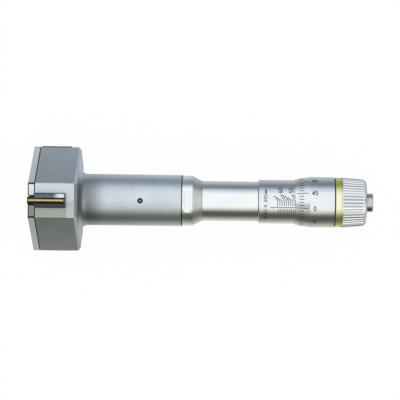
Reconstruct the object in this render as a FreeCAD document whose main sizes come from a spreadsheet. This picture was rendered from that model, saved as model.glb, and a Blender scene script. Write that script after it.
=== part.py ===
import FreeCAD, Part

import os
import re

import Sketcher
from FreeCAD import Placement, Rotation, Vector

# Three-point inside micrometer, 50 to 63 mm, lying with a wide flat of its head down.
# +X runs along the axis from the head's front face to the ratchet, +Z points up through the top anvil.
# All sizes are millimetres, and the moving pieces stand at the set reading.

# Driving sizes: alias, value, meaning

SIZES = [
    ("smallest_bore", 50.0, "smallest bore measured"),
    ("bore_range", 13.0, "largest bore measured, above the smallest"),
    ("set_rise", 4.5, "bore that the instrument is set to, above the smallest"),
    ("cone_rise", 0.5, "radial rise of the measuring cone for each mm along its axis"),
    ("flat_inset", 1.6, "narrow flats, where the anvils come out, inside the smallest bore"),
    ("wide_inset", 6.5, "wide flats inside the smallest bore"),
    ("plate_thickness", 3.2, "front plate"),
    ("plate_edge", 0.35, "chamfer round the front plate"),
    ("block_length", 19.0, "head block behind the plate"),
    ("block_chamfer", 1.2, "chamfer round the back of the head block"),
    ("stem_radius", 11.9, "extension stem, outside"),
    ("stem_length", 47.5, "extension stem behind the head block"),
    ("stem_fillet", 2.5, "fillet at the root of the stem"),
    ("bore_radius", 9.85, "bore of the head and stem"),
    ("land_gap", 0.08, "radial clearance of the cone's land in that bore"),
    ("seat_gap", 0.03, "clearance of pieces that are screwed or pressed together"),
    ("slide_gap", 0.05, "clearance of an anvil in its slot, each side"),
    ("turn_gap", 0.06, "radial running clearance of the turning pieces"),
    ("slot_width", 6.6, "anvil slot across"),
    ("slot_length", 14.0, "anvil slot along the axis"),
    ("notch_width", 4.0, "notch in the front plate for the anvil's nose"),
    ("nose_gap", 0.3, "clearance of an anvil's nose in that notch, each side"),
    ("nose_round", 0.6, "rounding of the nose's front corners"),
    ("nose_inset", 0.1, "anvils' front ends behind the front face"),
    ("nose_height", 12.25, "height of the anvil's nose"),
    ("foot_radius", 2.25, "anvils' inner ends from the axis at the smallest reading"),
    ("flank_fall", 0.25, "chamfer along the outer edges of an anvil"),
    ("tip_height", 0.6, "measuring tip above its anvil"),
    ("tip_width", 2.2, "measuring tip across"),
    ("tip_seat", 2.4, "depth of the tip's groove"),
    ("tip_length", 16.6, "measuring tip along the axis"),
    ("tip_end", 0.9, "rounding of the tip's corners"),
    ("tip_land", 0.2, "flat left along the tip's crest"),
    ("cone_nose", 2.0, "radius of the cone's front end"),
    ("cone_gap", 0.04, "cone to anvil, measured radially"),
    ("nose_stop", 0.4, "cone to front plate at the largest reading"),
    ("recess_depth", 1.5, "recess in the back of the front plate for the cone's nose"),
    ("recess_gap", 0.45, "radial clearance of the cone's nose in that recess"),
    ("land_length", 6.0, "guide land of the cone"),
    ("spigot_radius", 2.5, "push rod's spigot in the cone"),
    ("spigot_length", 5.0, "length of that spigot"),
    ("screw_edge", 4.5, "front plate screws inside the wide flats"),
    ("screw_radius", 1.5, "front plate screws, shank"),
    ("screw_head", 2.8, "front plate screws, countersunk head"),
    ("screw_sink", 0.15, "heads below the front face"),
    ("screw_length", 10.0, "front plate screws, whole"),
    ("screw_room", 1.0, "threaded hole beyond the end of a screw"),
    ("socket_flats", 2.0, "front plate screws, hexagon socket across flats"),
    ("socket_depth", 1.1, "depth of that socket"),
    ("pin_radius", 0.8, "anvil spring pins"),
    ("pin_inset", 8.7, "anvil spring pins inside the smallest bore"),
    ("pin_hold", 4.0, "length of a pin in the head block"),
    ("anvil_coil", 2.4, "anvil return spring, outside diameter"),
    ("anvil_wire", 0.4, "anvil return spring, wire"),
    ("anvil_turns", 4, "anvil return spring, turns"),
    ("coil_room", 0.2, "space round an anvil spring in its groove"),
    ("coil_wall", 2.15, "anvil between its inner end and the spring groove"),
    ("rod_radius", 4.0, "push rod"),
    ("rod_reach", 4.1, "push rod's back end behind the collar's front"),
    ("flange_radius", 6.9, "push rod's flange"),
    ("flange_length", 2.0, "thickness of that flange"),
    ("flange_place", 2.0, "flange from the rod's back end"),
    ("guide_inset", 19.2, "guide screw from the stem's back end"),
    ("guide_radius", 1.1, "guide screw"),
    ("guide_gap", 0.15, "clearance of the guide screw's head in the stem"),
    ("guide_sink", 0.2, "guide screw below the stem's surface"),
    ("dog_radius", 0.9, "guide screw's dog point"),
    ("dog_gap", 0.1, "dog point in the keyway, each side"),
    ("keyway_depth", 1.3, "keyway in the push rod"),
    ("keyway_spare", 0.5, "keyway beyond the dog point at both limits"),
    ("bush_length", 10.0, "rod guide bush"),
    ("rod_coil", 6.5, "rod return spring, outside radius"),
    ("rod_wire", 1.0, "rod return spring, wire"),
    ("rod_turns", 4, "rod return spring, turns"),
    ("collar_seam", 0.2, "dark seam between stem and collar"),
    ("collar_radius", 11.6, "stem collar"),
    ("collar_length", 4.7, "stem collar"),
    ("joint_radius", 10.4, "spigot of the collar in the stem"),
    ("joint_length", 7.0, "length of that spigot"),
    ("spanner_flats", 20.88, "collar across its spanner flats"),
    ("spanner_start", 0.9, "front of those flats behind the collar's front"),
    ("spanner_width", 2.7, "width of those flats along the axis"),
    ("shoulder_radius", 11.4, "shoulder adapter, front"),
    ("shoulder_length", 4.3, "shoulder adapter"),
    ("handle_radius", 9.2, "handle barrel"),
    ("handle_length", 26.1, "handle barrel behind the shoulder"),
    ("handle_edge", 0.25, "chamfers of the handle and sleeve at their seam"),
    ("handle_spigot", 8.2, "front spigot of the handle"),
    ("handle_bore", 7.3, "bore of the handle and collar"),
    ("bearing_length", 10.0, "spindle bearing in the handle"),
    ("bearing_inset", 8.0, "front of that bearing from the handle's back end"),
    ("bearing_relief", 1.0, "space round the spindle behind that bearing"),
    ("tail_radius", 8.0, "barrel inside the sleeve"),
    ("sleeve_radius", 10.1, "graduated sleeve"),
    ("sleeve_length", 22.0, "graduated sleeve"),
    ("nut_radius", 6.0, "spindle nut"),
    ("nut_length", 14.0, "spindle nut"),
    ("nut_slit", 0.8, "slits in the nut's back end, across"),
    ("nut_slits", 3, "slits in the nut's back end"),
    ("adjuster_radius", 7.7, "adjusting nut"),
    ("adjuster_length", 4.2, "adjusting nut"),
    ("adjuster_inset", 0.8, "adjusting nut inside the sleeve's back end"),
    ("adjuster_gap", 0.5, "adjusting nut to the barrel inside the sleeve"),
    ("adjuster_notch", 1.6, "spanner notches of the adjusting nut, across"),
    ("adjuster_notch_depth", 1.0, "spanner notches of the adjusting nut, deep"),
    ("adjuster_notches", 4, "spanner notches of the adjusting nut"),
    ("spindle_radius", 4.0, "spindle, plain part"),
    ("thread_radius", 3.7, "spindle, at the thread's pitch line"),
    ("ball_radius", 1.5, "spindle ball"),
    ("ball_proud", 1.2, "spindle ball beyond the spindle's front end"),
    ("ball_gap", 0.05, "ball to push rod"),
    ("sleeve_cover", 0.6, "sleeve still under the thimble at the smallest reading"),
    ("edge_radius", 10.5, "thimble at its front edge"),
    ("bevel_length", 6.9, "thimble's bevel"),
    ("thimble_radius", 11.65, "thimble"),
    ("back_room", 1.0, "thimble's back wall to the sleeve at the largest reading"),
    ("boss_length", 3.5, "thimble's back wall"),
    ("taper_radius", 3.4, "spindle's taper in that wall, large end"),
    ("taper_fall", 0.5, "fall of that taper"),
    ("seal_radius", 11.25, "seal ring"),
    ("seal_length", 0.6, "seal ring"),
    ("ring_radius", 11.45, "colour ring"),
    ("ring_length", 2.7, "colour ring"),
    ("hub_radius", 3.4, "ratchet hub, tube"),
    ("hub_flange", 8.0, "ratchet hub, flange"),
    ("hub_flange_length", 3.0, "ratchet hub, flange"),
    ("tooth_height", 0.6, "ratchet teeth"),
    ("tooth_width", 1.8, "ratchet teeth round the axis"),
    ("tooth_start", 5.0, "ratchet teeth, inner end from the axis"),
    ("tooth_length", 2.6, "ratchet teeth, radially"),
    ("tooth_root", 0.3, "ratchet teeth below the face that carries them"),
    ("tooth_count", 12, "ratchet teeth"),
    ("tooth_gap", 0.1, "tips of the ratchet teeth apart"),
    ("disc_radius", 8.3, "ratchet disc"),
    ("disc_length", 2.0, "ratchet disc"),
    ("lug_width", 2.4, "ratchet disc's lugs across"),
    ("lug_height", 0.9, "ratchet disc's lugs beyond its rim"),
    ("ratchet_coil", 6.9, "ratchet spring, outside radius"),
    ("ratchet_wire", 0.9, "ratchet spring, wire"),
    ("ratchet_turns", 3, "ratchet spring, turns"),
    ("knob_gap", 0.1, "ratchet knob to colour ring"),
    ("knob_radius", 11.55, "ratchet knob, front"),
    ("knob_back_radius", 10.8, "ratchet knob, where its back edge is rounded"),
    ("knob_length", 11.6, "ratchet knob"),
    ("knob_round", 2.0, "rounding of the knob's back edge"),
    ("knob_bore", 8.6, "inside of the ratchet knob"),
    ("knob_wall", 2.5, "back wall of the ratchet knob"),
    ("knob_rim", 0.5, "plain rim in front of the flutes"),
    ("flute_count", 45, "flutes round the ratchet knob"),
    ("flute_width", 0.95, "a flute across"),
    ("flute_depth", 0.42, "a flute, deep"),
    ("flute_rise", 0.5, "the flutes' cutter above the knob"),
    ("nub_radius", 4.3, "ratchet screw, head"),
    ("nub_length", 3.1, "ratchet screw, head"),
    ("nub_round", 0.5, "rounding of that head"),
    ("nub_gap", 0.05, "ratchet screw's head to knob"),
    ("nub_hole", 0.95, "spanner hole in that head"),
    ("nub_hole_depth", 2.0, "depth of the spanner hole"),
    ("nub_hole_place", 1.5, "spanner hole behind the head's front"),
    ("nub_hole_angle", 48.0, "spanner hole's angle from the top, degrees"),
    ("shank_radius", 2.0, "ratchet screw, shank"),
    ("shank_depth", 8.0, "ratchet screw in the spindle"),
    ("over_cut", 1.0, "cuts beyond the faces that they pass"),
]

ANVIL_ANGLES = [("top", 0), ("right", 120), ("left", -120)]

# Places along the axis and other sizes that follow from those above, as formulas

FORMULAS = {
    "set_bore": "smallest_bore + set_rise",
    "anvil_flat": "smallest_bore / 2 - flat_inset",
    "wide_flat": "smallest_bore / 2 - wide_inset",
    "screw_circle": "wide_flat - screw_edge",
    "pin_place": "smallest_bore / 2 - pin_inset",
    "block_back": "plate_thickness + block_length",
    "stem_back": "block_back + stem_length",
    "slot_back": "plate_thickness + slot_length",
    "anvil_retreat": "set_rise / 2",
    "cone_retreat": "anvil_retreat / cone_rise",
    "cone_advance": "(bore_range - set_rise) / 2 / cone_rise",
    "recess_floor": "plate_thickness - recess_depth",
    "land_radius": "bore_radius - land_gap",
    "cone_front": "recess_floor + nose_stop + cone_advance",
    "land_start": "cone_front + (land_radius - cone_nose) / cone_rise",
    "cone_back": "land_start + land_length",
    "anvil_front": "plate_thickness + slide_gap",
    "anvil_back": "slot_back - slide_gap",
    "anvil_foot": "foot_radius + anvil_retreat",
    "pad_front": "cone_front + (anvil_foot - cone_gap - cone_nose) / cone_rise",
    "pad_back_radius": "anvil_foot + (anvil_back - pad_front) * cone_rise",
    "anvil_crest": "set_bore / 2 - tip_height",
    "nose_floor": "anvil_crest - nose_height",
    "notch_floor": "nose_floor - anvil_retreat - slide_gap",
    "coil_place": "anvil_back - anvil_coil / 2 - coil_room",
    "coil_floor": "anvil_back - anvil_coil - 2 * coil_room",
    "coil_inner": "anvil_foot + coil_wall",
    "coil_outer": "pin_place + pin_radius + anvil_retreat + coil_room",
    "collar_front": "stem_back + collar_seam",
    "rod_end": "collar_front + rod_reach",
    "flange_front": "rod_end - flange_place - flange_length",
    "guide_place": "stem_back - guide_inset",
    "bush_front": "guide_place - bush_length / 2",
    "bush_back": "guide_place + bush_length / 2",
    "collar_back": "collar_front + collar_length",
    "shoulder_back": "collar_back + shoulder_length",
    "handle_end": "shoulder_back + handle_length",
    "bearing_start": "handle_end - bearing_inset",
    "bearing_end": "bearing_start + bearing_length",
    "sleeve_back": "handle_end + sleeve_length",
    "adjuster_back": "sleeve_back - adjuster_inset",
    "adjuster_front": "adjuster_back - adjuster_length",
    "tail_back": "adjuster_front - adjuster_gap",
    "nut_front": "sleeve_back - nut_length",
    "spindle_front": "rod_end + ball_gap + ball_proud",
    "thread_front": "nut_front - cone_retreat - slide_gap",
    "thimble_edge": "sleeve_back - sleeve_cover - cone_retreat",
    "boss_front": "sleeve_back + cone_advance + back_room",
    "thimble_back": "boss_front + boss_length",
    "seal_back": "thimble_back + seal_length",
    "ring_back": "seal_back + ring_length",
    "hub_face": "thimble_back + hub_flange_length",
    "disc_front": "hub_face + 2 * tooth_height + tooth_gap",
    "disc_back": "disc_front + disc_length",
    "knob_front": "ring_back + knob_gap",
    "knob_back": "knob_front + knob_length",
    "knob_floor": "knob_back - knob_wall",
    "nub_front": "knob_back + nub_gap",
    "nub_back": "nub_front + nub_length",
}

doc = FreeCAD.newDocument("InsideMicrometer")
sheet = doc.addObject("Spreadsheet::Sheet", "Sizes")
for row, (alias, value, meaning) in enumerate(SIZES, start=1):
    sheet.set(f"A{row}", meaning)
    sheet.set(f"B{row}", str(value))
    sheet.setAlias(f"B{row}", alias)
doc.recompute()

ALIASES = {alias for alias, value, meaning in SIZES}
WORD = re.compile(r"[a-z]+(?:_[a-z]+)*")
ANVILS = len(ANVIL_ANGLES)
CLOSE = 0.001
HALF_TURN = 180


def formula(text):
    """A formula for FreeCAD: named places are written out, and aliases point at the sheet."""

    def written_out(match):
        word = match.group()
        if word in FORMULAS:
            return f"({formula(FORMULAS[word])})"
        return f"Sizes.{word}" if word in ALIASES else word

    return WORD.sub(written_out, str(text))


def bind(thing, **formulas):
    for name, text in formulas.items():
        thing.setExpression(name, formula(text))


# Building blocks


def new_body(label):
    body = doc.addObject("PartDesign::Body", label)
    body.Label = label
    return body


def new_sketch(body, name, plane, height="0", along="0", across="0", tilt=None):
    """A sketch on one of the body's origin planes, moved along the plane's normal and in the plane."""
    sketch = body.newObject("Sketcher::SketchObject", name)
    support = next(f for f in body.Origin.OriginFeatures if f.Role == plane)
    sketch.AttachmentSupport = (support, [""])
    sketch.MapMode = "FlatFace"
    if tilt:
        sketch.AttachmentOffset = Placement(Vector(), Rotation(Vector(1, 0, 0), 1))
        sketch.setExpression(".AttachmentOffset.Rotation.Angle", formula(tilt))
    for letter, text in (("x", along), ("y", across), ("z", height)):
        sketch.setExpression(f".AttachmentOffset.Base.{letter}", formula(text))
    return sketch


def draw_polygon(sketch, corners):
    """A closed polygon whose corners are pairs of formulas."""
    count = len(corners)
    starts = [Vector(n, n * n, 0) for n in range(count)]
    for n in range(count):
        sketch.addGeometry(Part.LineSegment(starts[n], starts[(n + 1) % count]))
    for n in range(count):
        sketch.addConstraint(Sketcher.Constraint("Coincident", n, 2, (n + 1) % count, 1))
    for n, corner in enumerate(corners):
        for kind, text, start in zip(("DistanceX", "DistanceY"), corner, starts[n]):
            place = sketch.addConstraint(Sketcher.Constraint(kind, n, 1, start))
            sketch.setExpression(f"Constraints[{place}]", formula(text))


def draw_rectangle(sketch, left, right, low, high):
    draw_polygon(sketch, [(left, low), (right, low), (right, high), (left, high)])


def draw_circle(sketch, across, up, radius):
    circle = sketch.addGeometry(Part.Circle(Vector(1, 2, 0), Vector(0, 0, 1), 1))
    for kind, text, start in (("DistanceX", across, 1), ("DistanceY", up, 2)):
        place = sketch.addConstraint(Sketcher.Constraint(kind, circle, 3, start))
        sketch.setExpression(f"Constraints[{place}]", formula(text))
    place = sketch.addConstraint(Sketcher.Constraint("Radius", circle, 1))
    sketch.setExpression(f"Constraints[{place}]", formula(radius))


def turn(body, name, outline, kind="Revolution"):
    """A piece, or with Groove a bore, turned about the X axis from a closed outline of (X, radius)."""
    sketch = new_sketch(body, f"{name}_outline", "XY_Plane")
    draw_polygon(sketch, outline)
    feature = body.newObject(f"PartDesign::{kind}", name)
    feature.Profile = sketch
    feature.ReferenceAxis = (sketch, ["H_Axis"])
    feature.Angle = 360
    return feature


def extrude(body, name, sketch, length, kind="Pad", both_sides=False, backwards=False):
    """A pad along the sketch's normal, or with Pocket a cut against it, or backwards the other way."""
    feature = body.newObject(f"PartDesign::{kind}", name)
    feature.Profile = sketch
    feature.Midplane = both_sides
    feature.Reversed = backwards
    bind(feature, Length=length)
    return feature


def repeat_round_axis(body, name, features, count):
    pattern = body.newObject("PartDesign::PolarPattern", name)
    pattern.Originals = features
    axis = next(f for f in body.Origin.OriginFeatures if f.Role == "X_Axis")
    pattern.Axis = (axis, [""])
    pattern.Angle = 360
    bind(pattern, Occurrences=count)
    body.Tip = pattern
    return pattern


def dress(body, name, kind, wanted, **sizes):
    """A fillet or chamfer on the edges of the body's last feature for which wanted(edge) holds."""
    doc.recompute()
    base = body.Tip
    edges = [f"Edge{n}" for n, edge in enumerate(base.Shape.Edges, start=1) if wanted(edge)]
    feature = body.newObject(f"PartDesign::{kind}", name)
    feature.Base = (base, edges)
    bind(feature, **sizes)
    return feature


def number(text):
    """The value of a formula, for finding edges by their place."""
    return float(sheet.evalExpression(formula(text)))


def near(value, text):
    return abs(value - number(text)) < CLOSE


def coil(body, name, start, wire_inner, wire, length, turns):
    """A spring of square wire wound about the X axis, its end faces ground off where it starts and ends."""
    sketch = new_sketch(body, f"{name}_wire", "XZ_Plane")
    draw_rectangle(sketch, start, f"{start} + {wire}", wire_inner, f"{wire_inner} + {wire}")
    feature = body.newObject("PartDesign::AdditiveHelix", name)
    feature.Profile = sketch
    feature.ReferenceAxis = (sketch, ["H_Axis"])
    feature.Mode = "height-turns-angle"
    bind(feature, Height=f"{length} - {wire}", Turns=turns)
    return feature


# Head


def hexagon():
    """Corners of the head's outline in the YZ plane: narrow flats for the anvils, wide flats between them."""
    half = "((wide_flat - anvil_flat * cos(60 deg)) / sin(60 deg))"
    corners = []
    for label, turned in ANVIL_ANGLES[0], ANVIL_ANGLES[2], ANVIL_ANGLES[1]:
        for side in ("-", "+"):
            across = f"anvil_flat * sin({-turned} deg) {side} {half} * cos({turned} deg)"
            up = f"anvil_flat * cos({turned} deg) {side} {half} * sin({turned} deg)"
            corners.append((across, up))
    return corners


def is_outline_edge(edge, place):
    """An edge of the hexagon outline at a place along the axis."""
    ends = [vertex.Point for vertex in edge.Vertexes]
    if len(ends) < 2 or not all(near(end.x, place) for end in ends):
        return False
    middle = (ends[0] + ends[1]) / 2
    return middle.Length**2 - middle.x**2 > (number("wide_flat") - CLOSE) ** 2


def make_head_body():
    body = new_body("head_body")
    block = new_sketch(body, "block_outline", "YZ_Plane", height="plate_thickness")
    draw_polygon(block, hexagon())
    extrude(body, "block", block, "block_length")
    dress(body, "block_edges", "Chamfer", lambda e: is_outline_edge(e, "block_back"), Size="block_chamfer")
    inside = "block_back - block_chamfer"
    turn(
        body,
        "stem",
        [(inside, "0"), (inside, "stem_radius"), ("stem_back", "stem_radius"), ("stem_back", "0")],
    )
    dress(
        body,
        "stem_root",
        "Fillet",
        lambda e: near(e.BoundBox.XMin, "block_back")
        and near(e.BoundBox.XMax, "block_back")
        and near(e.BoundBox.ZMax, "stem_radius"),
        Radius="stem_fillet",
    )
    turn(
        body,
        "bore",
        [
            ("plate_thickness - over_cut", "0"),
            ("plate_thickness - over_cut", "bore_radius"),
            ("stem_back - joint_length", "bore_radius"),
            ("stem_back - joint_length", "joint_radius"),
            ("stem_back + over_cut", "joint_radius"),
            ("stem_back + over_cut", "0"),
        ],
        kind="Groove",
    )
    slot = new_sketch(body, "slot_outline", "YZ_Plane", height="slot_back")
    draw_rectangle(slot, "-slot_width / 2", "slot_width / 2", "0", "anvil_flat + over_cut")
    slots = [extrude(body, "slot", slot, "slot_length + over_cut", kind="Pocket")]
    repeat_round_axis(body, "slots", slots, ANVILS)
    hole = new_sketch(body, "pin_hole_outline", "YZ_Plane", height="slot_back + pin_hold")
    draw_circle(hole, "0", "pin_place", "pin_radius")
    holes = [extrude(body, "pin_hole", hole, "pin_hold + over_cut", kind="Pocket")]
    repeat_round_axis(body, "pin_holes", holes, ANVILS)
    depth = "screw_sink + screw_length + screw_room"
    screw = new_sketch(body, "screw_hole_outline", "YZ_Plane", height=depth)
    draw_circle(screw, "0", "-screw_circle", "screw_radius + seat_gap")
    holes = [extrude(body, "screw_hole", screw, depth, kind="Pocket")]
    repeat_round_axis(body, "screw_holes", holes, ANVILS)
    guide = new_sketch(body, "guide_hole_outline", "XY_Plane", height="stem_radius + over_cut")
    draw_circle(guide, "guide_place", "0", "guide_radius + guide_gap")
    extrude(body, "guide_hole", guide, "stem_radius", kind="Pocket")
    return body


def make_front_plate():
    body = new_body("front_plate")
    outline = new_sketch(body, "plate_outline", "YZ_Plane")
    draw_polygon(outline, hexagon())
    extrude(body, "plate", outline, "plate_thickness")
    for face, place in (("front", "0"), ("back", "plate_thickness")):
        dress(body, f"{face}_edges", "Chamfer", lambda e: is_outline_edge(e, place), Size="plate_edge")
    turn(
        body,
        "recess",
        [
            ("recess_floor", "0"),
            ("recess_floor", "cone_nose + recess_depth * cone_rise + recess_gap"),
            ("plate_thickness + over_cut", "cone_nose + recess_depth * cone_rise + recess_gap"),
            ("plate_thickness + over_cut", "0"),
        ],
        kind="Groove",
    )
    notch = new_sketch(body, "notch_outline", "YZ_Plane", height="plate_thickness + over_cut")
    draw_rectangle(notch, "-notch_width / 2", "notch_width / 2", "notch_floor", "anvil_flat + over_cut")
    notches = [extrude(body, "notch", notch, "plate_thickness + 2 * over_cut", kind="Pocket")]
    repeat_round_axis(body, "notches", notches, ANVILS)
    sink = new_sketch(body, "sink_outline", "XZ_Plane")
    wide, slim = "screw_head + screw_sink + seat_gap", "screw_radius + seat_gap"
    draw_polygon(
        sink,
        [
            ("-over_cut", "-screw_circle"),
            ("-over_cut", f"-screw_circle + {wide}"),
            ("0", f"-screw_circle + {wide}"),
            (f"{wide} - ({slim})", f"-screw_circle + {slim}"),
            ("plate_thickness + over_cut", f"-screw_circle + {slim}"),
            ("plate_thickness + over_cut", "-screw_circle"),
        ],
    )
    groove = body.newObject("PartDesign::Groove", "sink")
    groove.Profile = sink
    groove.ReferenceAxis = (sink, ["Edge6"])
    groove.Angle = 360
    repeat_round_axis(body, "sinks", [groove], ANVILS)
    return body


def make_front_plate_screws():
    """Three countersunk screws with hexagon sockets, side by side in one node."""
    screws = []
    for label, opposite in ANVIL_ANGLES:
        turned = opposite + HALF_TURN
        head = doc.addObject("Part::Cone", f"screw_head_{label}")
        bind(head, Radius1="screw_head", Radius2="screw_radius", Height="screw_head - screw_radius")
        shank = doc.addObject("Part::Cylinder", f"screw_shank_{label}")
        bind(shank, Radius="screw_radius", Height="screw_length")
        whole = doc.addObject("Part::Fuse", f"screw_whole_{label}")
        whole.Base, whole.Tool = head, shank
        socket = doc.addObject("Part::Prism", f"screw_socket_{label}")
        socket.Polygon = 6
        bind(socket, Circumradius="socket_flats / 2 / cos(30 deg)", Height="socket_depth + over_cut")
        socket.setExpression(".Placement.Base.z", formula("-over_cut"))
        screw = doc.addObject("Part::Cut", f"screw_{label}")
        screw.Base, screw.Tool = whole, socket
        turned_about_axis = Rotation(Vector(1, 0, 0), turned)
        along_axis = Rotation(Vector(0, 1, 0), 90)
        screw.Placement = Placement(Vector(), turned_about_axis * along_axis)
        bind_place(screw, "screw_sink", "screw_circle", turned)
        screws.append(screw)
    return gather("front_plate_screws", screws)


def bind_place(thing, along, radius, turned):
    """Ties a piece's place to a distance along the axis and one from it, at an angle from the top."""
    thing.setExpression(".Placement.Base.x", formula(along))
    thing.setExpression(".Placement.Base.y", formula(f"-({radius}) * sin({turned} deg)"))
    thing.setExpression(".Placement.Base.z", formula(f"({radius}) * cos({turned} deg)"))


def gather(label, pieces):
    """Several like solids in one node."""
    group = doc.addObject("Part::Compound", label)
    group.Label = label
    group.Links = pieces
    return group


def make_anvil_spring_pins():
    pins = []
    for label, turned in ANVIL_ANGLES:
        pin = doc.addObject("Part::Cylinder", f"spring_pin_{label}")
        bind(pin, Radius="pin_radius - seat_gap", Height="slot_back + pin_hold - coil_floor - 2 * coil_room")
        pin.Placement = Placement(Vector(), Rotation(Vector(0, 1, 0), 90))
        bind_place(pin, "coil_floor + coil_room", "pin_place", turned)
        pins.append(pin)
    return gather("anvil_spring_pins", pins)


def make_anvil(label, turned):
    """A steel blade: wide behind the plate, narrow in the plate's notch, its inner end sloped like the cone."""
    body = new_body(f"anvil_{label}")
    blade = new_sketch(body, "blade_outline", "XZ_Plane")
    draw_polygon(
        blade,
        [
            ("anvil_front", "anvil_foot"),
            ("pad_front", "anvil_foot"),
            ("anvil_back", "pad_back_radius"),
            ("anvil_back", "anvil_crest"),
            ("anvil_front", "anvil_crest"),
        ],
    )
    extrude(body, "blade", blade, "slot_width - 2 * slide_gap", both_sides=True)
    dress(
        body,
        "flanks",
        "Chamfer",
        lambda e: near(e.BoundBox.ZMin, "anvil_crest") and near(e.BoundBox.YMin, side_of(e)),
        Size="flank_fall",
    )
    nose = new_sketch(body, "nose_outline", "XZ_Plane")
    draw_rectangle(nose, "nose_inset", "anvil_front + over_cut", "nose_floor", "anvil_crest")
    extrude(body, "nose", nose, "notch_width - 2 * nose_gap", both_sides=True)
    dress(
        body,
        "nose_corners",
        "Fillet",
        lambda e: near(e.BoundBox.XMax, "nose_inset") and near(e.BoundBox.YLength, "0"),
        Radius="nose_round",
    )
    groove = new_sketch(body, "tip_groove_outline", "YZ_Plane")
    half = "(tip_width / 2 + seat_gap)"
    draw_rectangle(groove, f"-{half}", half, "anvil_crest - tip_seat", "anvil_crest + over_cut")
    extrude(body, "tip_groove", groove, "anvil_back + over_cut", "Pocket", backwards=True)
    spring = new_sketch(body, "spring_groove_outline", "XZ_Plane")
    draw_rectangle(spring, "coil_floor", "anvil_back + over_cut", "coil_inner", "coil_outer")
    extrude(body, "spring_groove", spring, "anvil_coil + 2 * coil_room", "Pocket", both_sides=True)
    body.Placement = Placement(Vector(), Rotation(Vector(1, 0, 0), turned))
    return body


def side_of(edge):
    """The side of an anvil that an edge lies on, as a formula."""
    side = "-" if edge.BoundBox.YMin < 0 else ""
    return f"{side}(slot_width / 2 - slide_gap)"


def make_anvil_tip(label, turned):
    """A hard metal strip with a round crest and rounded corners."""
    body = new_body(f"anvil_tip_{label}")
    strip = new_sketch(body, "strip_outline", "XZ_Plane")
    floor = "anvil_crest - tip_seat + seat_gap"
    draw_rectangle(strip, "nose_inset", "nose_inset + tip_length", floor, "set_bore / 2")
    extrude(body, "strip", strip, "tip_width", both_sides=True)
    dress(
        body,
        "corners",
        "Fillet",
        lambda e: near(e.BoundBox.XLength + e.BoundBox.YLength, "0"),
        Radius="tip_end",
    )
    dress(
        body,
        "crest",
        "Fillet",
        lambda e: near(e.BoundBox.ZMin, "set_bore / 2") and near(abs(e.BoundBox.YMin), "tip_width / 2"),
        Radius="(tip_width - tip_land) / 2",
    )
    body.Placement = Placement(Vector(), Rotation(Vector(1, 0, 0), turned))
    return body


def make_anvil_spring(label, turned):
    """A small coil from the anvil's groove out to the fixed pin, wound about a radial line."""
    body = new_body(f"anvil_spring_{label}")
    length = "(pin_place - pin_radius - coil_inner - 2 * seat_gap)"
    coil(body, "winding", "0", "anvil_coil / 2 - anvil_wire", "anvil_wire", length, "anvil_turns")
    outward = Rotation(Vector(1, 0, 0), turned) * Rotation(Vector(0, 1, 0), -90)
    body.Placement = Placement(Vector(), outward)
    bind_place(body, "coil_place", "coil_inner + seat_gap", turned)
    return body


# Cone and rod


def make_measuring_cone():
    body = new_body("measuring_cone")
    hole_end = "cone_back - spigot_length - seat_gap"
    turn(
        body,
        "cone",
        [
            ("cone_front", "0"),
            ("cone_front", "cone_nose"),
            ("land_start", "land_radius"),
            ("cone_back", "land_radius"),
            ("cone_back", "spigot_radius + seat_gap"),
            (hole_end, "spigot_radius + seat_gap"),
            (hole_end, "0"),
        ],
    )
    return body


def make_push_rod():
    body = new_body("push_rod")
    front = "cone_back - spigot_length"
    turn(
        body,
        "rod",
        [
            (front, "0"),
            (front, "spigot_radius"),
            ("cone_back + seat_gap", "spigot_radius"),
            ("cone_back + seat_gap", "rod_radius"),
            ("flange_front", "rod_radius"),
            ("flange_front", "flange_radius"),
            ("flange_front + flange_length", "flange_radius"),
            ("flange_front + flange_length", "rod_radius"),
            ("rod_end", "rod_radius"),
            ("rod_end", "0"),
        ],
    )
    keyway = new_sketch(body, "keyway_outline", "XY_Plane", height="rod_radius + over_cut")
    reach = "(dog_radius + keyway_spare)"
    half = "(dog_radius + dog_gap)"
    start, stop = f"guide_place - cone_retreat - {reach}", f"guide_place + cone_advance + {reach}"
    draw_rectangle(keyway, start, stop, f"-{half}", half)
    extrude(body, "keyway", keyway, "keyway_depth + over_cut", kind="Pocket")
    return body


def make_rod_guide_bush():
    body = new_body("rod_guide_bush")
    outside, inside = "bore_radius - seat_gap", "rod_radius + turn_gap"
    turn(
        body,
        "bush",
        [("bush_front", inside), ("bush_front", outside), ("bush_back", outside), ("bush_back", inside)],
    )
    hole = new_sketch(body, "hole_outline", "XY_Plane", height="bore_radius + over_cut")
    draw_circle(hole, "guide_place", "0", "guide_radius + seat_gap")
    extrude(body, "hole", hole, "bore_radius + over_cut", kind="Pocket")
    return body


def make_guide_screw():
    """A grub screw through the stem and the bush, with a dog point in the push rod's keyway."""
    body = new_body("guide_screw")
    screw = new_sketch(body, "screw_outline", "XZ_Plane")
    low = "rod_radius - keyway_depth + dog_gap"
    step = "rod_radius + turn_gap + seat_gap"
    high = "stem_radius - guide_sink"
    draw_polygon(
        screw,
        [
            ("guide_place", low),
            ("guide_place + dog_radius", low),
            ("guide_place + dog_radius", step),
            ("guide_place + guide_radius", step),
            ("guide_place + guide_radius", f"{high} - dog_gap"),
            ("guide_place + guide_radius - dog_gap", high),
            ("guide_place", high),
        ],
    )
    turned = body.newObject("PartDesign::Revolution", "screw")
    turned.Profile = screw
    turned.ReferenceAxis = (screw, ["Edge7"])
    turned.Angle = 360
    return body


def make_rod_return_spring():
    body = new_body("rod_return_spring")
    start = "bush_back + seat_gap"
    length = "(flange_front - bush_back - 2 * seat_gap)"
    coil(body, "winding", start, "rod_coil - rod_wire", "rod_wire", length, "rod_turns")
    return body


# Collar, shoulder, handle and sleeve


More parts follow.
